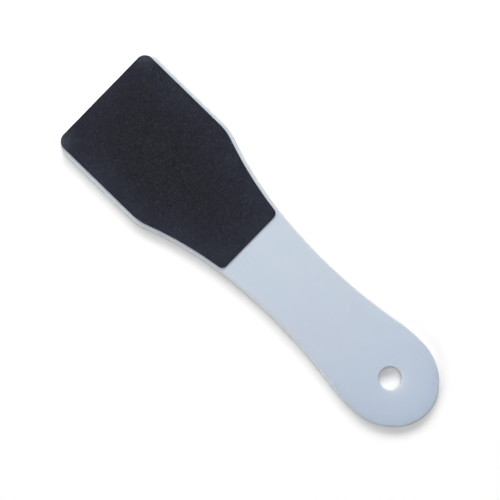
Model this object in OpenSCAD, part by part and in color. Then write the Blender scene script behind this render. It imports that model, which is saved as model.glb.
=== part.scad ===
// Foot file: a flat plastic paddle with an abrasive sheet glued on each face of its wide head.
// The long axis runs along X, the coarse face looks up and the fine face lies on z = 0.

/* [Plate outline] */

// Overall length, from the straight tip to the round handle end
plate_len = 190; // [182:1:215]
// Width of the head between its two straight sides
head_w = 55.6; // [48:0.2:66]
// Distance from the tip to where the straight sides end
head_len = 43.9; // [25:0.2:60]
// Radius of the two corners at the tip
tip_r = 6; // [3:0.2:7.6]
// Radius of the shoulder, where each side turns in towards the waist
shoulder_r = 24; // [10:0.5:50]
// Share of one even sweep's radius that the flank takes next to the shoulder
flank_share = 0.794; // [0.6:0.002:0.95]
// Share of one even sweep's radius that the flank takes next to the waist
waist_share = 1.198; // [1.05:0.002:1.3]
// Distance from the tip to the waist
waist_at = 115; // [104:0.5:128]
// Width of the plate at the waist
waist_w = 32.5; // [26:0.1:36]
// Distance from the tip to the widest place of the round end
widest_at = 166.5; // [155:0.5:174]
// Width of the round end at its widest place
end_w = 40.6; // [38:0.2:46]
// Share of the swell that bends outwards, next to the widest place
swell_share = 0.27; // [0.1:0.01:0.6]

/* [Plate section] */

// Thickness of the plate
plate_t = 3; // [2.2:0.1:5]
// Radius of the rolled edge, on both faces
roll_r = 1; // [0.4:0.05:1.4]

/* [Hang hole] */

// Diameter of the hole's straight wall
hole_d = 9.7; // [6:0.1:14]
// Distance from the handle end to the middle of the hole
hole_inset = 21.5; // [14:0.5:28]
// Radius of the rounded rim around each mouth of the hole
hole_rim_r = 0.4; // [0.2:0.05:1]

/* [Abrasive sheets] */

// Length of each sheet along the head
sheet_len = 86.9; // [66:0.5:105]
// Bare plate left beside the sheet along the sides
side_rim = 1.55; // [0.6:0.05:3]
// Bare plate left in front of the sheet at the tip
tip_rim = 0.1; // [0.05:0.05:2]
// Least bare plate around the sheet's two corners at the tip
corner_rim = 0.05; // [0.02:0.01:0.1]
// Radius of the sheet's two rear corners
sheet_rear_r = 2.5; // [0.5:0.1:6]
// Thickness of the glue film under each backing
adhesive_t = 0.1; // [0.05:0.01:0.3]
// Thickness of each backing film
backing_t = 0.25; // [0.15:0.01:0.5]
// Thickness of the resin that binds the coarse grains
coarse_bond_t = 0.1; // [0.05:0.01:0.3]
// Height of the coarse grains above their resin
coarse_grit_t = 0.3; // [0.1:0.01:0.6]
// Thickness of the resin that binds the fine grains
fine_bond_t = 0.07; // [0.03:0.01:0.2]
// Height of the fine grains above their resin
fine_grit_t = 0.16; // [0.05:0.01:0.4]

/* [Hidden] */

// Heights of the layers, from the fine grains up
fine_bond_z = fine_grit_t;
fine_backing_z = fine_bond_z + fine_bond_t;
fine_adhesive_z = fine_backing_z + backing_t;
plate_z = fine_adhesive_z + adhesive_t;
coarse_adhesive_z = plate_z + plate_t;
coarse_backing_z = coarse_adhesive_z + adhesive_t;
coarse_bond_z = coarse_backing_z + backing_t;
coarse_grit_z = coarse_bond_z + coarse_bond_t;

// Places along X, with the middle of the plate at zero
tip_x = -plate_len / 2;
end_x = plate_len / 2;
head_x = tip_x + head_len;
waist_x = tip_x + waist_at;
widest_x = tip_x + widest_at;
hole_x = end_x - hole_inset;
sheet_x = tip_x + tip_rim;
rear_x = sheet_x + sheet_len;

// Half widths
head_h = head_w / 2;
waist_h = waist_w / 2;
end_h = end_w / 2;

// One even sweep from the shoulder to the waist, which the flank and waist arcs share out
fall = head_h - waist_h;
fall_run = waist_x - head_x;
sweep_r = (pow(fall, 2) + pow(fall_run, 2)) / (2 * fall) - shoulder_r;
flank_r = flank_share * sweep_r;
waist_r = waist_share * sweep_r;
shoulder_c = [head_x, head_h - shoulder_r];
waist_c = [waist_x, waist_h + waist_r];

// The flank arc touches the shoulder arc from outside and the waist arc from inside
reach = norm(waist_c - shoulder_c);
reach_dir = (waist_c - shoulder_c) / reach;
outer_reach = shoulder_r + flank_r;
inner_reach = waist_r - flank_r;
along = (pow(outer_reach, 2) - pow(inner_reach, 2) + pow(reach, 2)) / (2 * reach);
aside = sqrt(pow(outer_reach, 2) - pow(along, 2));
flank_c = shoulder_c + along * reach_dir + aside * [reach_dir.y, -reach_dir.x];
shoulder_turn = atan2(flank_c.x - shoulder_c.x, flank_c.y - shoulder_c.y);
waist_turn = atan2(waist_c.x - flank_c.x, waist_c.y - flank_c.y);

// The swell bends inwards from the waist, then outwards up to the widest place
rise = end_h - waist_h;
rise_run = widest_x - waist_x;
swell_sum = (pow(rise, 2) + pow(rise_run, 2)) / (2 * rise);
approach_r = swell_share * swell_sum;
swell_r = swell_sum - approach_r;
swell_turn = asin(rise_run / swell_sum);
swell_c = [waist_x, waist_h + swell_r];
approach_c = [widest_x, end_h - approach_r];

// The sheet's tip corners are as sharp as the plate's own corners let them be
tip_spare = tip_rim - corner_rim;
side_spare = side_rim - corner_rim;
sheet_tip_r = tip_r - corner_rim - tip_spare - side_spare - sqrt(2 * tip_spare * side_spare);

// The sheet's rear corner touches the flank arc, or the waist arc where the sheet is longer
rear_c_x = rear_x - sheet_rear_r;
flank_touch = touch_turn(flank_c, flank_r);
past_flank = flank_touch > 90 - waist_turn;
rear_hub = past_flank ? waist_c : flank_c;
rear_hub_r = past_flank ? waist_r : flank_r;
rear_turn = touch_turn(rear_hub, rear_hub_r);
rear_c = [rear_c_x, touch_y(rear_hub, rear_hub_r)];

// Steps of each arc, of the round end, of the rolled edge and of the hole's rim
corner_steps = 8;
shoulder_steps = 5;
flank_steps = 6;
waist_steps = 6;
swell_steps = 6;
approach_steps = 5;
end_steps = 18;
roll_steps = 5;
rim_steps = 5;
bore_fn = 96;

// The hole's cutter runs past both faces of the plate
overrun = plate_t;

plastic = [0.74, 0.79, 0.85];
glue = [0.86, 0.84, 0.76];
film = [0.20, 0.20, 0.22];
resin = [0.13, 0.13, 0.15];
grains = [0.17, 0.17, 0.20];

// Middle height of a rear corner that touches the sheet's side on the arc around a hub
function touch_y(hub, hub_r) =
    hub.y - sqrt(pow(hub_r + side_rim + sheet_rear_r, 2) - pow(rear_c_x - hub.x, 2));

// Direction from that corner's middle to the hub
function touch_turn(hub, hub_r) = atan2(hub.y - touch_y(hub, hub_r), hub.x - rear_c_x);

// Points on an arc, each as its place and its outward side, so that an outline can be inset.
// bend is 1 where the outline bulges and -1 where it is hollow.
function arc(centre, radius, from, to, steps, bend = 1) = [
    for (i = [0:steps])
        let (turn = from + (to - from) * i / steps, side = [cos(turn), sin(turn)])
            [centre + radius * side, bend * side]
];

// Points on a quarter of an oval, from its side to its nose
function oval(centre, half_len, half_width, steps) = [
    for (i = [0:steps])
        let (
            turn = 90 - 90 * i / steps,
            side = [cos(turn) / half_len, sin(turn) / half_width]
        )
            [centre + [half_len * cos(turn), half_width * sin(turn)], side / norm(side)]
];

function drop_first(list) = [for (i = [1:len(list) - 1]) list[i]];

// Points of a side drawn inwards by a distance
function inset(side, distance) = [for (p = side) p[0] - distance * p[1]];

// A side and its mirror image as one closed row, from the tip round and back to the tip
function closed(side) = concat(side, [
    for (i = [len(side) - 1:-1:0])
        if (side[i].y > 0)
            [side[i].x, -side[i].y]
]);

// One side of the plate, from the tip to the handle end
plate_side = concat(
    arc([tip_x + tip_r, head_h - tip_r], tip_r, 180, 90, corner_steps),
    arc(shoulder_c, shoulder_r, 90, 90 - shoulder_turn, shoulder_steps),
    drop_first(arc(flank_c, flank_r, -90 - shoulder_turn, -90 - waist_turn, flank_steps, -1)),
    drop_first(arc(waist_c, waist_r, -90 - waist_turn, -90, waist_steps, -1)),
    drop_first(arc(swell_c, swell_r, -90, swell_turn - 90, swell_steps, -1)),
    drop_first(arc(approach_c, approach_r, 90 + swell_turn, 90, approach_steps)),
    drop_first(oval([widest_x, 0], end_x - widest_x, end_h, end_steps))
);

// One side of a sheet, from the tip to its straight rear edge
sheet_side = concat(
    arc([sheet_x + sheet_tip_r, head_h - side_rim - sheet_tip_r], sheet_tip_r, 180, 90, corner_steps),
    arc(shoulder_c, shoulder_r - side_rim, 90, 90 - shoulder_turn, shoulder_steps),
    drop_first(arc(flank_c, flank_r + side_rim, -90 - shoulder_turn,
                   past_flank ? -90 - waist_turn : rear_turn - 180, flank_steps)),
    past_flank
        ? drop_first(arc(waist_c, waist_r + side_rim, -90 - waist_turn, rear_turn - 180, waist_steps))
        : [],
    drop_first(arc(rear_c, sheet_rear_r, rear_turn, 0, corner_steps))
);

// Inset and height of a ring of the rolled edge, at a turn from the face to the side
function roll_ring(turn, face_z, inward) =
    [roll_r * (1 - sin(turn)), face_z + inward * roll_r * (1 - cos(turn))];

// All rings of the rolled plate, from the lower face to the upper one
rings = concat(
    [for (i = [0:roll_steps]) roll_ring(90 * i / roll_steps, plate_z, 1)],
    [for (i = [roll_steps:-1:0]) roll_ring(90 * i / roll_steps, plate_z + plate_t, -1)]
);

// Strips across a flat face, from one side to its mirror image, with a triangle at the handle end
function face_strips(count, first, upper) = [
    for (i = [0:count - 2])
        let (
            near = first + i,
            far = first + 2 * count - 2 - i,
            strip = i < count - 2 ? [near, near + 1, far - 1, far] : [near, near + 1, far]
        )
            upper ? strip : [for (k = [len(strip) - 1:-1:0]) strip[k]]
];

// Walls between two rings of points, the second one above the first
function ring_walls(first, ring_count) = [
    for (i = [0:ring_count - 1])
        let (next = (i + 1) % ring_count)
            [first + i, first + next, first + ring_count + next, first + ring_count + i]
];

module rolled_plate() {
    count = len(plate_side);
    ring_count = 2 * count - 1;
    last = len(rings) - 1;
    polyhedron(
        points = [
            for (ring = rings)
                for (p = closed(inset(plate_side, ring[0])))
                    [p.x, p.y, ring[1]]
        ],
        faces = concat(
            face_strips(count, 0, false),
            face_strips(count, last * ring_count, true),
            [for (k = [0:last - 1]) for (wall = ring_walls(k * ring_count, ring_count)) wall]
        )
    );
}

// Cutter for the hole: a straight wall that flares out over a rounded rim at each face
module hole_cutter() {
    hole_r = hole_d / 2;
    flare_r = hole_r + hole_rim_r;
    translate([hole_x, 0, plate_z])
        rotate_extrude($fn = bore_fn)
            polygon(concat(
                [[0, -overrun], [flare_r, -overrun]],
                [
                    for (i = [0:rim_steps])
                        let (turn = 270 - 90 * i / rim_steps)
                            [flare_r, hole_rim_r] + hole_rim_r * [cos(turn), sin(turn)]
                ],
                [
                    for (i = [0:rim_steps])
                        let (turn = 180 - 90 * i / rim_steps)
                            [flare_r, plate_t - hole_rim_r] + hole_rim_r * [cos(turn), sin(turn)]
                ],
                [[flare_r, plate_t + overrun], [0, plate_t + overrun]]
            ));
}

module sheet_layer(base_z, thickness) {
    translate([0, 0, base_z])
        linear_extrude(thickness)
            polygon(closed([for (p = sheet_side) p[0]]));
}

module paddle() {
    color(plastic)
        difference() {
            rolled_plate();
            hole_cutter();
        }
}

module coarse_adhesive() {
    color(glue)
        sheet_layer(coarse_adhesive_z, adhesive_t);
}

module coarse_backing() {
    color(film)
        sheet_layer(coarse_backing_z, backing_t);
}

module coarse_bond() {
    color(resin)
        sheet_layer(coarse_bond_z, coarse_bond_t);
}

module coarse_grit() {
    color(grains)
        sheet_layer(coarse_grit_z, coarse_grit_t);
}

module fine_adhesive() {
    color(glue)
        sheet_layer(fine_adhesive_z, adhesive_t);
}

module fine_backing() {
    color(film)
        sheet_layer(fine_backing_z, backing_t);
}

module fine_bond() {
    color(resin)
        sheet_layer(fine_bond_z, fine_bond_t);
}

module fine_grit() {
    color(grains)
        sheet_layer(0, fine_grit_t);
}

paddle();
coarse_adhesive();
coarse_backing();
coarse_bond();
coarse_grit();
fine_adhesive();
fine_backing();
fine_bond();
fine_grit();
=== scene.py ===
import math

import bpy
import numpy as np
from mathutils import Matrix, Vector
from mathutils.geometry import delaunay_2d_cdt


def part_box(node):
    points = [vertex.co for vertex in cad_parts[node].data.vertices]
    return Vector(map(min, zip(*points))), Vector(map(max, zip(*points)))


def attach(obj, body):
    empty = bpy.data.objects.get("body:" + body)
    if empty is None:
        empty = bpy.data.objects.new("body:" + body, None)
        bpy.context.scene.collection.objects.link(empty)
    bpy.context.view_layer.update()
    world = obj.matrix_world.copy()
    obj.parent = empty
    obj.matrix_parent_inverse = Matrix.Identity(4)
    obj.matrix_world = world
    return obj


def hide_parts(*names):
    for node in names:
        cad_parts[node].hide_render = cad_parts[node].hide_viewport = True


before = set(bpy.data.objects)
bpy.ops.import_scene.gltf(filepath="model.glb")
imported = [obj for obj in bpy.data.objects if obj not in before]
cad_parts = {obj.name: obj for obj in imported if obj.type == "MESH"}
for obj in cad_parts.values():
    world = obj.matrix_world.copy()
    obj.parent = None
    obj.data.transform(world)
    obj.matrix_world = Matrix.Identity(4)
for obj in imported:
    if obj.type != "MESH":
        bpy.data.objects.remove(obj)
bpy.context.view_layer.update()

MM = 0.001

# Sizes, in mm

# Plan sizes of the plate, as in the part's source. X runs from the tip to the handle end.
PLATE_LEN = 190.0
HEAD_W, HEAD_LEN = 55.6, 43.9
TIP_R = 6.0
SHOULDER_R = 24.0
FLANK_SHARE, WAIST_SHARE = 0.794, 1.198
WAIST_AT, WAIST_W = 115.0, 32.5
WIDEST_AT, END_W = 166.5, 40.6
SWELL_SHARE = 0.27
ROLL_R = 1.0
HOLE_D, HOLE_INSET, HOLE_RIM_R = 9.7, 21.5, 0.4

# Plan sizes of a sheet, as in the part's source
SHEET_LEN = 86.9
SIDE_RIM, TIP_RIM, CORNER_RIM = 1.55, 0.1, 0.05
SHEET_REAR_R = 2.5

# The parting line of the plate's mould: how far it stands out, and half its width at its crest and foot
SEAM_RISE, SEAM_CREST, SEAM_FOOT = 0.03, 0.03, 0.09

# Towards the handle's end the faces sink a little at the outer edge: by how much, from how far in, and
# between which places along the plate this sets in
EDGE_SAG, SAG_REACH = 0.17, 5.2
SAG_FROM, SAG_FULL = 38.0, 82.0

# Steps along an arc and along the plate's finished outline
ARC_STEP, OUTLINE_STEP = 0.1, 0.7
# A length, in radii, that is no less than a quarter turn's
QUARTER_TURN = 1.6
# The flat faces keep rings of points, for the wear, at these distances from the outer edge and from the
# hole's wall
FACE_INSETS = (5.2, 4.4, 3.6, 3.0, 2.4, 1.8, 1.4)
HOLE_INSETS = (7.0, 4.6, 3.2, 2.1, 1.2)
# The last flat strip before a rounding
LAND = 0.12
# Steps of the rolled edge and of the hole's rim, and points round the hole
ROLL_STEPS, RIM_STEPS, HOLE_POINTS = 10, 8, 128
# Points that lie closer than this are taken as one
SAME_PLACE = 1e-7

# Maps: how many mm fit the picture's side, and the place that its corner stands for
PLATE_MAP_SIDE, PLATE_MAP_CORNER = 200.0, (-98.0, -32.0)
GRAIN_MAP_SIDE, GRAIN_MAP_CORNER = 94.0, (-97.5, -30.0)
# As shares of the picture's side: how far above its upper half the plate's lower half is drawn, and how
# small and where a grain coat's flat foot is drawn
LOWER_HALF_UP = 0.34
FOOT_MAP_SCALE, FOOT_MAP_PLACE = 0.05, 0.9

# Wear, paling and painted light, in mm

# The hole's rim is worn, banded grey and given the painted sheen as the flat face is at this distance from
# the outer edge
HOLE_RIM_GAP = 1.0
# A painted glow, standing in for light scattered through the milky plastic, lies on the hole's side towards
# the
# handle end: how far round, as the cosine's share added, and how fast it fades away from the hole
GLOW_SPREAD, GLOW_REACH = 0.4, 2.4
# How far the wear of a sheet's two corners at the tip reaches
CORNER_WEAR_REACH = 5.0
# The sheet pales less at the tip: as much as it does this much further in from its sides
TIP_PALING_GAP = 4.0
# The power by which the gaps to a sheet's edges are summed up, so that the nearest edge counts most
NEAREST_POWER = -3.0

# Grains

# The spacing of their points, in mm, and the seeds of their random draws
GRAIN_PITCH = 0.236
COARSE_SEED, FINE_SEED = 11, 23
# As shares of the pitch: the spacing along the sheet's edge, how far the edge leans in at most, how far a
# point strays at most, and how far points keep off the edge
EDGE_PITCH, EDGE_LEAN, STRAY, EDGE_CLEAR = 1.15, 0.28, 0.24, 0.55
# The gap to a slanting side is the gap straight across times its slope, taken as no less than this
LEAST_SLOPE = 0.5
# Heights as shares of the layer: the lowest grain tip, the dips between tips, lost grains, the coat's edge
LOWEST_TIP, DIPS, LOST, EDGE_HEIGHTS = 0.38, (0.02, 0.34), (0.05, 0.2), (0.1, 0.75)
# The share of grains that are lost
LOST_SHARE = 0.05
# Shapes of the beta draws for the tips of peaked grains and for the heights of even ones
TIP_DRAW, EVEN_DRAW = (3.2, 1.6), (1.4, 1.2)

# Looks

# A pattern is its scale, detail and roughness, and where it is stretched also the scale of each axis and
# its turn in degrees. A spread is the two ends that a value is read between, and the two ends that they
# are taken to, or else 0 and 1. Gaps are in mm, and places along the plate in m.

# Patterns of the plastic
CLOUDS, TINTS, SPECKS = (45.0, 3.0, 0.55), (75.0, 2.0, 0.5), (900.0, 2.0, 0.6)
SCUFFS = (200.0, 3.0, 0.5, (1.0, 2.5, 1.0), 27.0)
SCRATCHES = (900.0, 2.0, 0.5, (0.05, 1.6, 1.0), -14.0)
SKIN, PEEL = (3200.0, 2.0, 0.5), (120.0, 1.0, 0.4)
# Depths in m of its skin, its waves and its scratches
SKIN_DEPTH, PEEL_DEPTH, SCRATCH_DEPTH = 0.000012, 0.00002, 0.000006
# Colours of the plastic: plain, clouded, lilac away from the sheet, painted shade that makes it darker and
# bluer at the handle's end, a greyer band at the edge, worn, and a painted sheen that pales its edge and
# the hole's side
PLASTIC_PALE, PLASTIC_CLOUD = (0.425, 0.496, 0.578), (0.411, 0.488, 0.573)
PLASTIC_LILAC, PLASTIC_END_SHADE = (0.422, 0.470, 0.573), (0.411, 0.491, 0.606)
PLASTIC_GREY_BAND, PLASTIC_WORN = (0.475, 0.505, 0.535), (0.56, 0.61, 0.67)
PLASTIC_PAINTED_SHEEN = (0.68, 0.70, 0.72)
# Where its patterns show, and how much
CLOUD_SPREAD, SPECK_SPREAD, SCRATCH_SPREAD = (0.35, 0.65), (0.55, 0.8, 0.0, 0.10), (0.62, 0.72)
OFF_SHEET, LILAC_SPREAD = (0.012, 0.030, 0.15, 1.0), (0.34, 0.58, 0.0, 0.9)
# Painted shade: the plastic turns darker and bluer towards the handle's end
END_SHADE_SPREAD = (0.03, 0.09, 0.0, 0.9)
# Wear at the edge: where it is, how the scuffs break it up, and how much it shows
NEAR_EDGE, SCUFF_WEAR, WEAR_SHARE = (0.2, 2.6, 1.0, 0.0), (0.36, 0.68), 0.20
# The greyer edge band and the painted sheen, a paler rim that stands in for light reflected in the rounded
# edge, both fade towards the handle's end
EDGE_FADE, GREY_BAND, EDGE_SHEEN = (0.025, 0.075, 1.0, 0.3), (0.5, 2.6, 0.5, 0.0), (0.1, 1.1, 0.78, 0.0)
# How strong the painted glow beside the hole is
HOLE_GLOW = 0.50
# Roughness of the plastic, and where it is worn
PLASTIC_ROUGH, ROUGH_WORN = (0.3, 0.75, 0.20, 0.28), (0.29, 0.29, 0.29)
PLASTIC_IOR = 1.5
# How milky it is: the share of light that goes in, how far each colour goes, and the depth in m
MILK_SHARE, MILK_RADII, MILK_DEPTH = 0.25, (1.0, 1.1, 1.3), 0.0012

# Grains: colour inside the sheet, colour at its edge and how far that reaches in mm, colour of glints
COARSE_LOOK = ((0.0187, 0.0190, 0.0286), (0.0285, 0.0330, 0.0520), 18.0, (0.035, 0.036, 0.045))
FINE_LOOK = ((0.021, 0.0225, 0.0290), (0.032, 0.037, 0.049), 24.0, (0.05, 0.052, 0.06))
GRAIN_TINT, GRAIN_WORN = (0.0185, 0.0175, 0.027), (0.11, 0.13, 0.155)
# Painted shade: near black, laid in the dips between grains
GRAIN_DIP_SHADE = (0.006, 0.006, 0.008)
DRIFT, PATCHES = (28.0, 3.0, 0.6), (900.0, 2.0, 0.5)
GRAIN_TINTS = (70.0, 2.0, 0.5, (1.0, 1.0, 1.0), 40.0)
CHIPS, CHIP_DEPTH = (5200.0, 3.0, 0.6), 0.00003
# The edge's colour has these shares as far outside the edge as it reaches and as far inside, so it is
# whole at the edge itself
EDGE_PALING = (2.0, 0.0)
PALING_DRIFT, TINT_SPREAD = (0.3, 0.7, 0.75, 1.25), (0.4, 0.65, 0.0, 0.5)
GLINT_SPREAD, CORNER_SPREAD = (0.55, 0.85, 0.0, 0.12), (0.3, 0.7, 0.3, 0.7)
# Where the painted shade lies: on points low between the grains
DIP_SHADE_SPREAD = (0.0, 0.35, 0.30, 0.0)
GRAIN_ROUGH, GRAIN_SHINE = 0.6, 0.2

# Layers seen at their cut edge: material, two colours, roughness, scale of the pattern, depth of the
# surface in m, and shine
LAYER_LOOKS = {
    "adhesive": ("glue_film", (0.60, 0.59, 0.53), (0.52, 0.51, 0.45), 0.28, 700.0, 0.00001, 0.5),
    "backing": ("backing_film", (0.022, 0.022, 0.026), (0.034, 0.034, 0.039), 0.55, 900.0, 0.00002, 0.3),
    "bond": ("bond_resin", (0.014, 0.014, 0.018), (0.022, 0.022, 0.027), 0.25, 1200.0, 0.00002, 0.4),
}
# Detail and roughness of their pattern and of their surface, and how many times finer the surface is
LAYER_DETAIL, SURFACE_DETAIL, SURFACE_FINER = (3.0, 0.6), (2.0, 0.5), 6
# The ends that their pattern is read between, and how much rougher it makes them
LAYER_SPREAD, LAYER_ROUGHER = (0.3, 0.7), 0.12

# The colour sockets of Blender's mix node
MIX_FIRST, MIX_SECOND, MIX_RESULT = 6, 7, 2

# Stage

# The photograph, in its own pixels: size, scale, middle of the plate, and its long axis's turn in degrees
PHOTO_PX = 500
PX_PER_MM = 2.3997
MIDDLE_PX = (263.96, 255.26)
AXIS_TURN = 44.24

# The camera's lens, and its nearest sight in m
LENS_MM, SENSOR_MM = 85.0, 36.0
NEAR_CLIP = 0.01

# The floor: brightness, share of the light that it gives back, radius and height in m
FLOOR_LEVEL, FLOOR_ALBEDO = 1.052, 0.94
FLOOR_REACH, FLOOR_Z = 0.75, -0.00002
# Rings and spokes of its mesh, its pattern, its two colours, roughness and shine
FLOOR_RINGS, FLOOR_SPOKES = 12, 96
FLOOR_DRIFT, FLOOR_DARK, FLOOR_LIGHT = (9.0, 2.0, 0.5), (0.93, 0.93, 0.93), (0.95, 0.95, 0.95)
FLOOR_ROUGH, FLOOR_SHINE = 0.9, 0.1

# Softboxes: name, turn from the picture's up towards its left, elevation, distance in m, apparent width in
# degrees, share of the floor's light
SOFT_LIGHTS = (
    ("key_right", -20.0, 30.0, 2.6, 28.0, 0.125),
    ("key_middle", 6.0, 35.5, 2.6, 30.0, 0.285),
    ("key_left", 36.0, 31.0, 2.6, 28.0, 0.11),
    ("top_card", -5.0, 81.5, 3.0, 34.0, 0.30),
    ("low_fill", 129.0, 24.0, 4.0, 36.0, 0.115),
)
LIGHT_COLOUR = (1.0, 0.995, 0.99)
# The room's share of the floor's light, and its colour
ROOM_SHARE, ROOM_COLOUR = 0.07, (0.97, 0.98, 1.0)
# Its white horizon: brightness, and the sines of the elevations where it starts to fade and has gone
HORIZON_LEVEL, HORIZON_FULL, HORIZON_GONE = 1.0, 0.03, 0.09


# Outlines

def arc(centre, radius, start, stop, bend=1):
    """Points on an arc and their outward sides. bend is 1 where the outline bulges, else -1."""
    count = max(2, int(abs(math.radians(stop - start)) * radius / ARC_STEP) + 1)
    turn = np.radians(np.linspace(start, stop, count + 1))
    side = np.column_stack([np.cos(turn), np.sin(turn)])
    return np.array(centre) + radius * side, bend * side


def quarter_oval(centre, half_len, half_width):
    """Points on a quarter oval, from its widest place to its end, and their outward sides."""
    count = int(QUARTER_TURN * max(half_len, half_width) / ARC_STEP)
    turn = np.radians(np.linspace(90, 0, count + 1))
    place = np.column_stack([half_len * np.cos(turn), half_width * np.sin(turn)])
    side = np.column_stack([np.cos(turn) / half_len, np.sin(turn) / half_width])
    return np.array(centre) + place, side / np.linalg.norm(side, axis=1)[:, None]


def flank_arcs():
    """Middles, radii and turns of the arcs from the shoulder to the waist."""
    head_h, waist_h = HEAD_W / 2, WAIST_W / 2
    tip_x = -PLATE_LEN / 2
    head_x, waist_x = tip_x + HEAD_LEN, tip_x + WAIST_AT
    fall, run = head_h - waist_h, waist_x - head_x
    sweep = (fall ** 2 + run ** 2) / (2 * fall) - SHOULDER_R
    flank_r, waist_r = FLANK_SHARE * sweep, WAIST_SHARE * sweep
    shoulder_c = np.array([head_x, head_h - SHOULDER_R])
    waist_c = np.array([waist_x, waist_h + waist_r])
    reach = np.linalg.norm(waist_c - shoulder_c)
    toward = (waist_c - shoulder_c) / reach
    outer, inner = SHOULDER_R + flank_r, waist_r - flank_r
    along = (outer ** 2 - inner ** 2 + reach ** 2) / (2 * reach)
    aside = math.sqrt(outer ** 2 - along ** 2)
    flank_c = shoulder_c + along * toward + aside * np.array([toward[1], -toward[0]])
    shoulder_turn = math.degrees(math.atan2(flank_c[0] - shoulder_c[0], flank_c[1] - shoulder_c[1]))
    waist_turn = math.degrees(math.atan2(waist_c[0] - flank_c[0], waist_c[1] - flank_c[1]))
    return shoulder_c, flank_c, flank_r, waist_c, waist_r, shoulder_turn, waist_turn


def joined(parts):
    """Rows of points and outward sides, end to end."""
    return np.vstack([places for places, sides in parts]), np.vstack([sides for places, sides in parts])


def plate_side():
    """One side of the plate, from the tip to the handle end: points and outward sides."""
    shoulder_c, flank_c, flank_r, waist_c, waist_r, shoulder_turn, waist_turn = flank_arcs()
    tip_x = -PLATE_LEN / 2
    waist_x, widest_x = tip_x + WAIST_AT, tip_x + WIDEST_AT
    rise, run = (END_W - WAIST_W) / 2, widest_x - waist_x
    swell_sum = (rise ** 2 + run ** 2) / (2 * rise)
    approach_r = SWELL_SHARE * swell_sum
    swell_r = swell_sum - approach_r
    swell_turn = math.degrees(math.asin(run / swell_sum))
    return joined([
        arc((tip_x + TIP_R, HEAD_W / 2 - TIP_R), TIP_R, 180, 90),
        arc(shoulder_c, SHOULDER_R, 90, 90 - shoulder_turn),
        arc(flank_c, flank_r, -90 - shoulder_turn, -90 - waist_turn, -1),
        arc(waist_c, waist_r, -90 - waist_turn, -90, -1),
        arc((waist_x, WAIST_W / 2 + swell_r), swell_r, -90, swell_turn - 90, -1),
        arc((widest_x, END_W / 2 - approach_r), approach_r, 90 + swell_turn, 90),
        quarter_oval((widest_x, 0), PLATE_LEN / 2 - widest_x, END_W / 2),
    ])


def sheet_side():
    """One side of a sheet, from the tip to its rear edge: points and outward sides."""
    shoulder_c, flank_c, flank_r, _, _, shoulder_turn, _ = flank_arcs()
    sheet_x = TIP_RIM - PLATE_LEN / 2
    corner_x = sheet_x + SHEET_LEN - SHEET_REAR_R
    hub_r = flank_r + SIDE_RIM
    corner_y = flank_c[1] - math.sqrt((hub_r + SHEET_REAR_R) ** 2 - (corner_x - flank_c[0]) ** 2)
    rear_turn = math.degrees(math.atan2(flank_c[1] - corner_y, flank_c[0] - corner_x))
    tip_spare, side_spare = TIP_RIM - CORNER_RIM, SIDE_RIM - CORNER_RIM
    tip_r = TIP_R - CORNER_RIM - tip_spare - side_spare - math.sqrt(2 * tip_spare * side_spare)
    return joined([
        arc((sheet_x + tip_r, HEAD_W / 2 - SIDE_RIM - tip_r), tip_r, 180, 90),
        arc(shoulder_c, SHOULDER_R - SIDE_RIM, 90, 90 - shoulder_turn),
        arc(flank_c, hub_r, -90 - shoulder_turn, rear_turn - 180, -1),
        arc((corner_x, corner_y), SHEET_REAR_R, rear_turn, 0),
    ])


def closed_outline(side, spacing):
    """Both sides as one closed row of evenly spaced points and outward sides, clockwise from above."""
    place, out = side
    mirror = np.array([1, -1])
    place = np.vstack([place, (place * mirror)[::-1]])
    out = np.vstack([out, (out * mirror)[::-1]])
    loop, loop_out = np.vstack([place, place[:1]]), np.vstack([out, out[:1]])
    step = np.linalg.norm(np.diff(loop, axis=0), axis=1)
    at = np.concatenate([[0], np.cumsum(step)])
    count = int(at[-1] / spacing)
    want = np.linspace(0, at[-1], count, endpoint=False)
    new = np.column_stack([np.interp(want, at, loop[:, k]) for k in (0, 1)])
    new_out = np.column_stack([np.interp(want, at, loop_out[:, k]) for k in (0, 1)])
    return new, new_out / np.linalg.norm(new_out, axis=1)[:, None]


def inside(path, point):
    """Whether a point lies inside a closed path."""
    x, y = point
    ax, ay = path[:, 0], path[:, 1]
    bx, by = np.roll(ax, -1), np.roll(ay, -1)
    crosses = (ay > y) != (by > y)
    at = ax + (y - ay) / np.where(by == ay, 1, by - ay) * (bx - ax)
    return bool(np.count_nonzero(crosses & (x < at)) % 2)


# Meshes

def new_piece(name, verts_mm, faces, smooth):
    mesh = bpy.data.meshes.new(name)
    mesh.from_pydata((np.asarray(verts_mm) * MM).tolist(), [], faces)
    mesh.validate()
    mesh.polygons.foreach_set("use_smooth", [smooth] * len(mesh.polygons))
    piece = bpy.data.objects.new(name, mesh)
    bpy.context.scene.collection.objects.link(piece)
    return piece


def set_map(piece, corner_uv):
    """Gives the piece a map with one place for each corner of each face."""
    layer = piece.data.uv_layers.new(name="OFBake")
    layer.data.foreach_set("uv", np.asarray(corner_uv, dtype=np.float32).ravel())


def keep_values(piece, name, values):
    """Keeps one number for each point of the piece, for its material."""
    held = piece.data.attributes.new(name, "FLOAT", "POINT")
    held.data.foreach_set("value", np.asarray(values, dtype=np.float32))


def box_mm(node):
    low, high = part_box(node)
    return np.array(low) / MM, np.array(high) / MM


def ring_edges(first, count):
    return [(first + i, first + (i + 1) % count) for i in range(count)]


# The plate

def rounding(start, radius, steps, top):
    """A quarter-round profile from a flat face at the top down to a wall: distance and height."""
    turns = np.radians(np.linspace(0, 90, steps + 1))
    return [(start + radius * (1 - math.sin(t)), top - radius * (1 - math.cos(t))) for t in turns]


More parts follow.
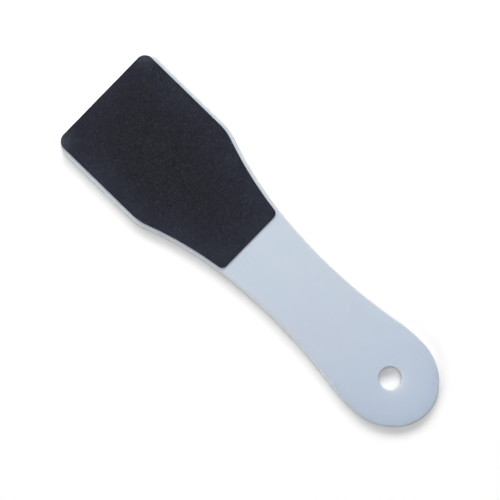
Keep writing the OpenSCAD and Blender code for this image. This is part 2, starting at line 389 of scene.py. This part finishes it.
def edge_profile(base, top):
    """The outer edge from the upper face down to the lower one: inset and height."""
    middle = (top + base) / 2
    upper = [(inset, top) for inset in FACE_INSETS] + [(ROLL_R + LAND, top)]
    upper += rounding(0.0, ROLL_R, ROLL_STEPS, top)
    seam = [(0.0, middle + SEAM_FOOT), (-SEAM_RISE, middle + SEAM_CREST),
            (-SEAM_RISE, middle - SEAM_CREST), (0.0, middle - SEAM_FOOT)]
    return upper + seam + [(inset, base + top - z) for inset, z in reversed(upper)]


def hole_profile(base, top):
    """The hang hole from the upper face down to the lower one: radius and height."""
    hole_r = HOLE_D / 2
    upper = [(hole_r + inset, top) for inset in HOLE_INSETS] + [(hole_r + HOLE_RIM_R + LAND, top)]
    upper += rounding(hole_r, HOLE_RIM_R, RIM_STEPS, top)
    return upper + [(radius, base + top - z) for radius, z in reversed(upper)]


def edge_points(outline, out, profile, base, top):
    """The rings of points round the outer edge, sunk a little towards the handle's end."""
    middle_z, half_t = (top + base) / 2, (top - base) / 2
    setting_in = np.clip((outline[:, 0] - SAG_FROM) / (SAG_FULL - SAG_FROM), 0, 1)
    sinks = EDGE_SAG * setting_in ** 2 * (3 - 2 * setting_in)
    verts = []
    for inset, z in profile:
        sunk = sinks * max(0.0, 1 - max(inset, 0.0) / SAG_REACH) ** 2
        heights = middle_z + (z - middle_z) * (1 - sunk / half_t)
        verts += np.column_stack([outline - inset * out, heights]).tolist()
    return verts


def plate_map(place, on_top):
    """The place on the plate's map of a place seen flat, in mm."""
    u = (place[0] - PLATE_MAP_CORNER[0]) * (1 / PLATE_MAP_SIDE)
    v = (place[1] - PLATE_MAP_CORNER[1]) * (1 / PLATE_MAP_SIDE)
    return (u, v if on_top else v + LOWER_HALF_UP)


def wall(first, profile, count, corners, unrolled):
    """Faces between the rings of a profile that runs down a wall, and the map places of their corners.
    A corner is the steps down and round to its point. unrolled gives the flat place of a point of the wall
    that lies so far along the profile from its own face."""
    lengths = [0.0]
    for (a, za), (b, zb) in zip(profile, profile[1:]):
        lengths.append(lengths[-1] + math.hypot(b - a, zb - za))
    faces, corner_uv = [], []
    for k in range(len(profile) - 1):
        on_top = k < len(profile) // 2
        for i in range(count):
            points = [(k + down, (i + round_by) % count) for down, round_by in corners]
            faces.append(tuple(first + ring * count + point for ring, point in points))
            for ring, point in points:
                run = lengths[ring] if on_top else lengths[-1] - lengths[ring]
                corner_uv.append(plate_map(unrolled(run, point), on_top))
    return faces, corner_uv


def flat_face(verts, outer, inner, on_top):
    """Faces between two rings of points, given by their numbers, and the map places of their corners."""
    index = outer + inner
    flat = [Vector(verts[v][:2]) for v in index]
    outer_path = np.array([verts[v][:2] for v in outer])
    inner_path = np.array([verts[v][:2] for v in inner])
    edges = ring_edges(0, len(outer)) + ring_edges(len(outer), len(inner))
    _, _, triangles, origins, _, _ = delaunay_2d_cdt(flat, edges, [], 0, SAME_PLACE)
    faces, corner_uv = [], []
    for tri in triangles:
        ids = [origins[v][0] for v in tri]
        a, b, c = (np.array(flat[v]) for v in ids)
        middle = (a + b + c) / 3
        if inside(inner_path, middle) or not inside(outer_path, middle):
            continue
        ccw = (b[0] - a[0]) * (c[1] - a[1]) - (b[1] - a[1]) * (c[0] - a[0]) > 0
        if ccw != on_top:
            ids = ids[::-1]
        faces.append(tuple(index[v] for v in ids))
        corner_uv += [plate_map(np.array(flat[v]), on_top) for v in ids]
    return faces, corner_uv


def keep_wear_and_glow(piece, verts, hole_c, edge_gaps):
    """Keeps the gap to the nearest edge, and the painted glow beside the hole, for each point of the plate.
    """
    keep_values(piece, "edge_gap", np.maximum(edge_gaps, 0))
    off_hole = np.array(verts)[:, :2] - hole_c
    away = np.linalg.norm(off_hole, axis=1)
    endward = np.clip((off_hole[:, 0] / away + GLOW_SPREAD) / (1 + GLOW_SPREAD), 0, 1)
    keep_values(piece, "hole_glow", endward * np.exp(-np.maximum(away - HOLE_D / 2, 0) / GLOW_REACH))


def build_paddle():
    """The plate with its rolled edge and hang hole, finer than the frame's, as a closed mesh."""
    low, high = box_mm("paddle")
    base, top = low[2], high[2]
    outline, out = closed_outline(plate_side(), OUTLINE_STEP)
    profile, hole = edge_profile(base, top), hole_profile(base, top)
    hole_c = np.array([PLATE_LEN / 2 - HOLE_INSET, 0.0])
    hole_turn = np.linspace(0, 2 * math.pi, HOLE_POINTS, endpoint=False)
    hole_out = np.column_stack([np.cos(hole_turn), -np.sin(hole_turn)])
    verts = edge_points(outline, out, profile, base, top)
    count, first_hole = len(outline), len(verts)
    for radius, z in hole:
        verts += [(x, y, z) for x, y in hole_c + radius * hole_out]

    # The outline runs clockwise from above, and the profiles run downwards
    walls = [
        wall(0, profile, count, ((0, 0), (0, 1), (1, 1), (1, 0)),
             lambda run, point: outline[point] + (run - profile[0][0]) * out[point]),
        wall(first_hole, hole, HOLE_POINTS, ((1, 0), (1, 1), (0, 1), (0, 0)),
             lambda run, point: hole_c + (hole[0][0] - run) * hole_out[point]),
    ]
    rings = ((True, 0, first_hole), (False, first_hole - count, len(verts) - HOLE_POINTS))
    for on_top, outer_at, inner_at in rings:
        outer, inner = range(outer_at, outer_at + count), range(inner_at, inner_at + HOLE_POINTS)
        walls.append(flat_face(verts, list(outer), list(inner), on_top))
    faces = [face for part, _ in walls for face in part]
    corner_uv = [place for _, part in walls for place in part]

    piece = new_piece("moulded_paddle", verts, faces, True)
    set_map(piece, corner_uv)
    hole_gaps = [radius - HOLE_D / 2 + HOLE_RIM_GAP for radius, z in hole]
    keep_wear_and_glow(piece, verts, hole_c, np.concatenate([
        np.repeat([inset for inset, z in profile], count), np.repeat(hole_gaps, HOLE_POINTS)]))
    return piece


# The coats of grains

def grain_lattice(rng, side, side_out, pitch):
    """Jittered points inside a sheet, their kinds, 0 to 2 in turn, and their gaps to its four edges."""
    row_step = pitch * math.sqrt(3) / 2
    first_row, last_row = np.floor(side[:, 0].min() / row_step), np.ceil(side[:, 0].max() / row_step)
    rows = np.arange(int(first_row), int(last_row) + 1)
    half_cols = int(side[:, 1].max() / pitch) + 2
    r, c = np.meshgrid(rows, np.arange(-half_cols, half_cols + 1), indexing="ij")
    kind = ((c + (r + r % 2) // 2 + r) % 3).ravel()
    points = np.column_stack([(r * row_step).ravel(), ((c + 0.5 * (r % 2)) * pitch).ravel()])
    points += rng.uniform(-STRAY, STRAY, points.shape) * pitch
    half_width = np.interp(points[:, 0], side[:, 0], side[:, 1], left=-1, right=-1)
    slope = np.clip(np.abs(np.interp(points[:, 0], side[:, 0], side_out[:, 1])), LEAST_SLOPE, 1)
    gaps = np.array([(half_width - points[:, 1]) * slope, (half_width + points[:, 1]) * slope,
                     points[:, 0] - side[:, 0].min(), side[:, 0].max() - points[:, 0]])
    keep = gaps.min(axis=0) > EDGE_CLEAR * pitch
    return points[keep], kind[keep], gaps[:, keep]


def grain_heights(rng, kind, peaked):
    """Heights as shares of the layer: tips on one kind of point and dips on the others, or all alike."""
    count = len(kind)
    if not peaked:
        return rng.beta(*EVEN_DRAW, count)
    tips = LOWEST_TIP + (1 - LOWEST_TIP) * rng.beta(*TIP_DRAW, count)
    rise = np.where(kind == 0, tips, rng.uniform(*DIPS, count))
    lost = (kind == 0) & (rng.random(count) < LOST_SHARE)
    rise[lost] = rng.uniform(*LOST, lost.sum())
    return rise


def coat_faces(flat, rim_count, up):
    """Triangles over the points of a coat, seen from outside. The first rim_count points are its edge."""
    _, _, triangles, origins, _, _ = delaunay_2d_cdt(
        [Vector(p) for p in flat.tolist()], [], [list(range(rim_count))], 1, SAME_PLACE)
    tri = np.array([o[0] for o in origins])[np.array(triangles)]
    a, b, c = (flat[tri[:, k]] for k in range(3))
    ccw = (b[:, 0] - a[:, 0]) * (c[:, 1] - a[:, 1]) - (b[:, 1] - a[:, 1]) * (c[:, 0] - a[:, 0]) > 0
    flip = ccw != (up > 0)
    tri[flip] = tri[flip][:, ::-1]
    return tri


def grain_map(places):
    """The places on a grain coat's map of places seen flat, in mm."""
    return (places - np.array(GRAIN_MAP_CORNER)) * (1 / GRAIN_MAP_SIDE)


def coat_shell(flat, rim, rim_out, rim_drop, up):
    """All faces of a coat and the map places of their corners: its top, its low wall and its flat foot."""
    count, foot = len(rim), len(flat)
    tri = coat_faces(flat, count, up)
    flat_uv, wall_uv = grain_map(flat), grain_map(rim + rim_drop[:, None] * rim_out)
    faces, corner_uv = tri.tolist(), [flat_uv[tri.ravel()]]
    for i, j in ring_edges(0, count):
        quad, places = (i, foot + i, foot + j, j), [flat_uv[i], wall_uv[i], wall_uv[j], flat_uv[j]]
        faces.append(quad if up > 0 else quad[::-1])
        corner_uv.append(places if up > 0 else places[::-1])
    under = range(count)[::-1] if up > 0 else range(count)
    faces.append(tuple(foot + i for i in under))
    corner_uv.append(grain_map(rim[list(under)]) * FOOT_MAP_SCALE + FOOT_MAP_PLACE)
    return faces, np.vstack(corner_uv)


def build_grains(name, node, up, pitch, peaked, seed):
    """A closed coat of sharp grains: a jittered lattice, high on grain tips and low between them."""
    rng = np.random.default_rng(seed)
    low, high = box_mm(node)
    base, height = (low if up > 0 else high)[2], high[2] - low[2]
    side, side_out = sheet_side()
    rim, rim_out = (row[::-1] for row in closed_outline((side, side_out), EDGE_PITCH * pitch))
    count = len(rim)
    cut = rng.uniform(0.0, EDGE_LEAN, count) * pitch
    points, kind, gaps = grain_lattice(rng, side, side_out, pitch)
    rise = grain_heights(rng, kind, peaked)
    rim_rise = rng.uniform(*EDGE_HEIGHTS, count)

    flat = np.vstack([rim - cut[:, None] * rim_out, points])
    rise = np.concatenate([rim_rise, rise])
    rise[int(np.argmax(rise))] = 1.0
    verts = np.column_stack([flat, base + up * height * rise])
    verts = np.vstack([verts, np.column_stack([rim, np.full(count, base)])])
    faces, corner_uv = coat_shell(flat, rim, rim_out, height * rim_rise, up)
    piece = new_piece(name, verts, faces, False)
    set_map(piece, corner_uv)

    gaps = gaps + np.array([[0], [0], [TIP_PALING_GAP], [0]])
    gap = (gaps ** NEAREST_POWER).sum(axis=0) ** (1 / NEAREST_POWER)
    at_rim = np.zeros(count)
    keep_values(piece, "edge_gap", np.concatenate([at_rim, gap, at_rim]))
    keep_values(piece, "grain_rise", np.concatenate([rise, at_rim]))
    off_tip, off_side = verts[:, 0] - side[:, 0].min(), side[:, 1].max() - np.abs(verts[:, 1])
    keep_values(piece, "corner_wear", np.exp(-(off_tip ** 2 + off_side ** 2) / CORNER_WEAR_REACH ** 2))
    return piece


# Materials

class Tree:
    """Short ways to build a node tree. Those that add a node give back its output."""

    def __init__(self, owner):
        owner.use_nodes = True
        self.nodes, self.links = owner.node_tree.nodes, owner.node_tree.links

    def feed(self, socket, value):
        """Sets a socket to a number or a colour, or links it to another node's output."""
        if isinstance(value, tuple):
            socket.default_value = (*value, 1.0)
        elif isinstance(value, (int, float)):
            socket.default_value = value
        else:
            self.links.new(value, socket)

    def noise(self, coords, scale, detail, rough, stretch=None, turn=0.0):
        made = self.nodes.new("ShaderNodeTexNoise")
        self.feed(made.inputs["Scale"], scale)
        self.feed(made.inputs["Detail"], detail)
        self.feed(made.inputs["Roughness"], rough)
        if stretch is not None:
            place = self.nodes.new("ShaderNodeMapping")
            place.inputs["Scale"].default_value = stretch
            place.inputs["Rotation"].default_value = (0, 0, math.radians(turn))
            self.links.new(coords, place.inputs["Vector"])
            coords = place.outputs["Vector"]
        self.links.new(coords, made.inputs["Vector"])
        return made.outputs["Fac"]

    def spread(self, value, low, high, to_low=0.0, to_high=1.0, smooth=False):
        made = self.nodes.new("ShaderNodeMapRange")
        if smooth:
            made.interpolation_type = "SMOOTHSTEP"
        ends = (("From Min", low), ("From Max", high), ("To Min", to_low), ("To Max", to_high))
        for name, number in ends:
            self.feed(made.inputs[name], number)
        self.links.new(value, made.inputs["Value"])
        return made.outputs["Result"]

    def mixed(self, share, first, second):
        made = self.nodes.new("ShaderNodeMix")
        made.data_type = "RGBA"
        self.feed(made.inputs["Factor"], share)
        self.feed(made.inputs[MIX_FIRST], first)
        self.feed(made.inputs[MIX_SECOND], second)
        return made.outputs[MIX_RESULT]

    def coated(self, base, coats):
        """The base with each coat over it in turn. A coat is its share and its colour."""
        for share, colour in coats:
            base = self.mixed(share, base, colour)
        return base

    def bump(self, height, distance, normal=None):
        made = self.nodes.new("ShaderNodeBump")
        self.feed(made.inputs["Distance"], distance)
        self.feed(made.inputs["Strength"], 1.0)
        self.links.new(height, made.inputs["Height"])
        if normal is not None:
            self.links.new(normal, made.inputs["Normal"])
        return made.outputs["Normal"]

    def product(self, first, second):
        made = self.nodes.new("ShaderNodeMath")
        made.operation = "MULTIPLY"
        self.feed(made.inputs[0], first)
        self.feed(made.inputs[1], second)
        return made.outputs[0]

    def kept_value(self, name):
        made = self.nodes.new("ShaderNodeAttribute")
        made.attribute_name = name
        return made.outputs["Fac"]

    def part_of(self, vector, axis):
        made = self.nodes.new("ShaderNodeSeparateXYZ")
        self.links.new(vector, made.inputs["Vector"])
        return made.outputs[axis]


def new_material(name):
    """A material, its tree, its shader, and the coordinates in the piece's own frame."""
    made = bpy.data.materials.new(name)
    tree = Tree(made)
    return made, tree, tree.nodes["Principled BSDF"], tree.nodes.new("ShaderNodeTexCoord").outputs["Object"]


def plastic_material():
    """Milky moulded plastic: satin, faintly clouded, with fine scratches, a paler, duller worn edge, a
    painted sheen that pales the edge and the hole's side further, and painted shade towards the handle's
    end.
    """
    made, tree, shader, coords = new_material("satin_plastic")
    along, edge_gap = tree.part_of(coords, "X"), tree.kept_value("edge_gap")
    clouds, tints, specks, scuffs, scratches = (
        tree.noise(coords, *pattern) for pattern in (CLOUDS, TINTS, SPECKS, SCUFFS, SCRATCHES))
    wear = tree.product(tree.spread(edge_gap, *NEAR_EDGE), tree.spread(scuffs, *SCUFF_WEAR))
    edge_fade = tree.spread(along, *EDGE_FADE)
    base = tree.coated(PLASTIC_PALE, (
        (tree.spread(clouds, *CLOUD_SPREAD), PLASTIC_CLOUD),
        (tree.product(tree.spread(along, *OFF_SHEET), tree.spread(tints, *LILAC_SPREAD)), PLASTIC_LILAC),
        # painted shade towards the handle's end
        (tree.spread(along, *END_SHADE_SPREAD), PLASTIC_END_SHADE),
        (tree.spread(specks, *SPECK_SPREAD), PLASTIC_WORN),
        (tree.product(wear, WEAR_SHARE), PLASTIC_WORN),
        # a greyer band near the edge, less towards the handle's end
        (tree.product(edge_fade, tree.spread(edge_gap, *GREY_BAND)), PLASTIC_GREY_BAND),
        # painted sheen: the rounded edge paled to stand in for reflected light, less towards the handle's
        # end
        (tree.product(edge_fade, tree.spread(edge_gap, *EDGE_SHEEN)), PLASTIC_PAINTED_SHEEN),
        # painted glow beside the hole, towards the handle end
        (tree.product(tree.kept_value("hole_glow"), HOLE_GLOW), PLASTIC_PAINTED_SHEEN),
    ))
    tree.feed(shader.inputs["Base Color"], base)
    tree.feed(shader.inputs["Subsurface Weight"], MILK_SHARE)
    shader.inputs["Subsurface Radius"].default_value = MILK_RADII
    tree.feed(shader.inputs["Subsurface Scale"], MILK_DEPTH)
    tree.feed(shader.inputs["Roughness"], tree.mixed(wear, tree.spread(scuffs, *PLASTIC_ROUGH), ROUGH_WORN))
    tree.feed(shader.inputs["IOR"], PLASTIC_IOR)
    skin = tree.bump(tree.noise(coords, *SKIN), SKIN_DEPTH)
    peel = tree.bump(tree.noise(coords, *PEEL), PEEL_DEPTH, skin)
    scratched = tree.bump(tree.spread(scratches, *SCRATCH_SPREAD), SCRATCH_DEPTH, peel)
    tree.feed(shader.inputs["Normal"], scratched)
    return made


def grain_material(name, core, rim, rim_reach, glint):
    """Dark mineral grains in resin: nearly black, paler towards the sheet's edge, with painted shade in the
    dips between grains.
    """
    made, tree, shader, coords = new_material(name)
    drift, tints, patches = (tree.noise(coords, *pattern) for pattern in (DRIFT, GRAIN_TINTS, PATCHES))
    near_rim = tree.spread(tree.kept_value("edge_gap"), -rim_reach, rim_reach, *EDGE_PALING, smooth=True)
    base = tree.coated(core, (
        (tree.product(near_rim, tree.spread(drift, *PALING_DRIFT)), rim),
        (tree.spread(tints, *TINT_SPREAD), GRAIN_TINT),
        (tree.spread(patches, *GLINT_SPREAD), glint),
        (tree.product(tree.kept_value("corner_wear"), tree.spread(patches, *CORNER_SPREAD)), GRAIN_WORN),
        # painted shade in the dips between grains
        (tree.spread(tree.kept_value("grain_rise"), *DIP_SHADE_SPREAD), GRAIN_DIP_SHADE),
    ))
    tree.feed(shader.inputs["Base Color"], base)
    tree.feed(shader.inputs["Roughness"], GRAIN_ROUGH)
    tree.feed(shader.inputs["Specular IOR Level"], GRAIN_SHINE)
    tree.feed(shader.inputs["Normal"], tree.bump(tree.noise(coords, *CHIPS), CHIP_DEPTH))
    return made


def layer_material(name, colour, other, rough, scale, depth, shine):
    """A thin layer seen at its cut edge: slightly uneven in colour, gloss and surface."""
    made, tree, shader, coords = new_material(name)
    uneven = tree.noise(coords, scale, *LAYER_DETAIL)
    tree.feed(shader.inputs["Base Color"], tree.mixed(tree.spread(uneven, *LAYER_SPREAD), colour, other))
    tree.feed(shader.inputs["Roughness"], tree.spread(uneven, *LAYER_SPREAD, rough, rough + LAYER_ROUGHER))
    tree.feed(shader.inputs["Specular IOR Level"], shine)
    surface = tree.noise(coords, scale * SURFACE_FINER, *SURFACE_DETAIL)
    tree.feed(shader.inputs["Normal"], tree.bump(surface, depth))
    return made


def floor_material():
    made, tree, shader, coords = new_material("white_sweep")
    uneven = tree.noise(coords, *FLOOR_DRIFT)
    tree.feed(shader.inputs["Base Color"], tree.mixed(uneven, FLOOR_DARK, FLOOR_LIGHT))
    tree.feed(shader.inputs["Roughness"], FLOOR_ROUGH)
    tree.feed(shader.inputs["Specular IOR Level"], FLOOR_SHINE)
    return made


def dress(thing, made):
    thing.data.materials.clear()
    thing.data.materials.append(made)


def dress_node(name, made):
    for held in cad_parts[name].material_slots:
        held.material = made


# Floor, lights and camera

def photo_axes():
    """The picture's right and up in the part's frame, for a camera that looks straight down."""
    turn = math.radians(AXIS_TURN)
    return Vector((math.cos(turn), math.sin(turn), 0)), Vector((-math.sin(turn), math.cos(turn), 0))


def add_camera(look_z):
    """The photograph's camera, straight above, with the photograph's scale at the height look_z."""
    right, up = photo_axes()
    middle = PHOTO_PX / 2
    aside, above = (middle - MIDDLE_PX[0]) / PX_PER_MM * MM, (MIDDLE_PX[1] - middle) / PX_PER_MM * MM
    aim = right * aside + up * above
    lens = bpy.data.cameras.new("top_camera")
    lens.lens, lens.sensor_width = LENS_MM, SENSOR_MM
    lens.clip_start = NEAR_CLIP
    field = PHOTO_PX / PX_PER_MM * MM
    camera = bpy.data.objects.new("top_camera", lens)
    camera.location = (aim.x, aim.y, look_z + field * LENS_MM / SENSOR_MM)
    camera.rotation_euler = (0, 0, math.radians(AXIS_TURN))
    bpy.context.scene.collection.objects.link(camera)
    bpy.context.scene.camera = camera


def add_soft_light(name, turn, elevation, distance, width, share):
    """A round softbox aimed at the part's middle, where it gives the floor its share of the whole light."""
    right, up = photo_axes()
    swing, rise, half = math.radians(turn), math.radians(elevation), math.radians(width) / 2
    flat = up * math.cos(swing) - right * math.sin(swing)
    place = (flat * math.cos(rise) + Vector((0, 0, 1)) * math.sin(rise)) * distance
    lamp = bpy.data.lights.new(name, "AREA")
    lamp.shape = "DISK"
    lamp.size = 2 * distance * math.tan(half)
    spread_out = (math.pi * distance / math.cos(half)) ** 2
    lamp.energy = share * FLOOR_LEVEL * spread_out / FLOOR_ALBEDO / math.sin(rise)
    lamp.color = LIGHT_COLOUR
    light = bpy.data.objects.new(name, lamp)
    light.location = place
    light.rotation_euler = (-place).to_track_quat("-Z", "Y").to_euler()
    bpy.context.scene.collection.objects.link(light)


def add_world(strength):
    """An even, dim room with a white band round the horizon, which the floor runs into."""
    world = bpy.data.worlds.new("pale_room")
    tree = Tree(world)
    upward = tree.part_of(tree.nodes.new("ShaderNodeTexCoord").outputs["Generated"], "Z")
    ground = tree.nodes["Background"]
    tree.feed(ground.inputs["Color"], ROOM_COLOUR)
    tree.feed(ground.inputs["Strength"],
              tree.spread(upward, HORIZON_FULL, HORIZON_GONE, HORIZON_LEVEL, strength, smooth=True))
    bpy.context.scene.world = world


def add_floor():
    """A round floor, no larger than the softboxes light evenly."""
    turn = np.linspace(0, 2 * math.pi, FLOOR_SPOKES, endpoint=False)
    verts = [(0.0, 0.0, FLOOR_Z)]
    for radius in np.linspace(0, FLOOR_REACH, FLOOR_RINGS + 1)[1:]:
        verts += [(radius * math.cos(t), radius * math.sin(t), FLOOR_Z) for t in turn]
    faces = [(0, near, far) for near, far in ring_edges(1, FLOOR_SPOKES)]
    for i in range(FLOOR_RINGS - 1):
        first, step = 1 + i * FLOOR_SPOKES, FLOOR_SPOKES
        faces += [(a, a + step, b + step, b) for a, b in ring_edges(first, FLOOR_SPOKES)]
    mesh = bpy.data.meshes.new("floor")
    mesh.from_pydata(verts, [], faces)
    floor = bpy.data.objects.new("floor", mesh)
    bpy.context.scene.collection.objects.link(floor)
    dress(floor, floor_material())


# Build

paddle = build_paddle()
dress(paddle, plastic_material())
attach(paddle, "root")
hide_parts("paddle")

coarse = build_grains("coarse_grains", "coarse_grit", 1, GRAIN_PITCH, True, COARSE_SEED)
dress(coarse, grain_material("coarse_mineral", *COARSE_LOOK))
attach(coarse, "root")
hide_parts("coarse_grit")

fine = build_grains("fine_grains", "fine_grit", -1, GRAIN_PITCH, False, FINE_SEED)
dress(fine, grain_material("fine_mineral", *FINE_LOOK))
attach(fine, "root")
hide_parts("fine_grit")

for layer, look in LAYER_LOOKS.items():
    layer_look = layer_material(*look)
    for face in ("coarse", "fine"):
        dress_node(face + "_" + layer, layer_look)

add_floor()
add_world(ROOM_SHARE * FLOOR_LEVEL / FLOOR_ALBEDO)
for soft_light in SOFT_LIGHTS:
    add_soft_light(*soft_light)
plate_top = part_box("paddle")[1][2]
add_camera(plate_top)
bpy.context.scene.view_settings.view_transform = "Standard"
bpy.context.scene.view_settings.look = "None"
